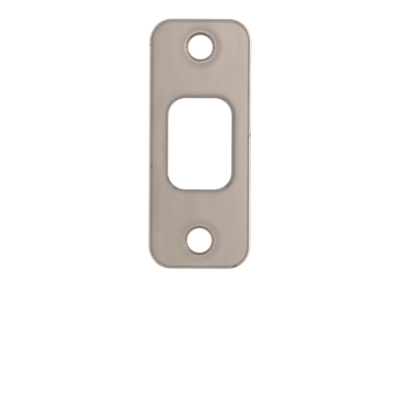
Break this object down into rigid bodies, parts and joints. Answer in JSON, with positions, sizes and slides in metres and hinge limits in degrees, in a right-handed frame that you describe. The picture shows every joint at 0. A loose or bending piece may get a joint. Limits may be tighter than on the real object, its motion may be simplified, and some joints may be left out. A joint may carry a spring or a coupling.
{
  "type": "door strike plate",
  "caption": "Flat round-cornered door strike plate for a deadbolt, with a bolt window between countersunk screw holes and rolled-off front edges.",
  "frame": {"origin": "middle of the back face, the face that lies in the door frame's mortise", "axes": "+Y along the plate's length, +X across it, +Z out of the front face"},
  "size_m": [0.0286, 0.0698, 0.0016],
  "materials": {
    "satin_nickel": "satin nickel plate on blanked steel, soft and slightly worn"
  },
  "bodies": {
    "root": {"strike_plate": "satin_nickel"}
  },
  "joints": []
}
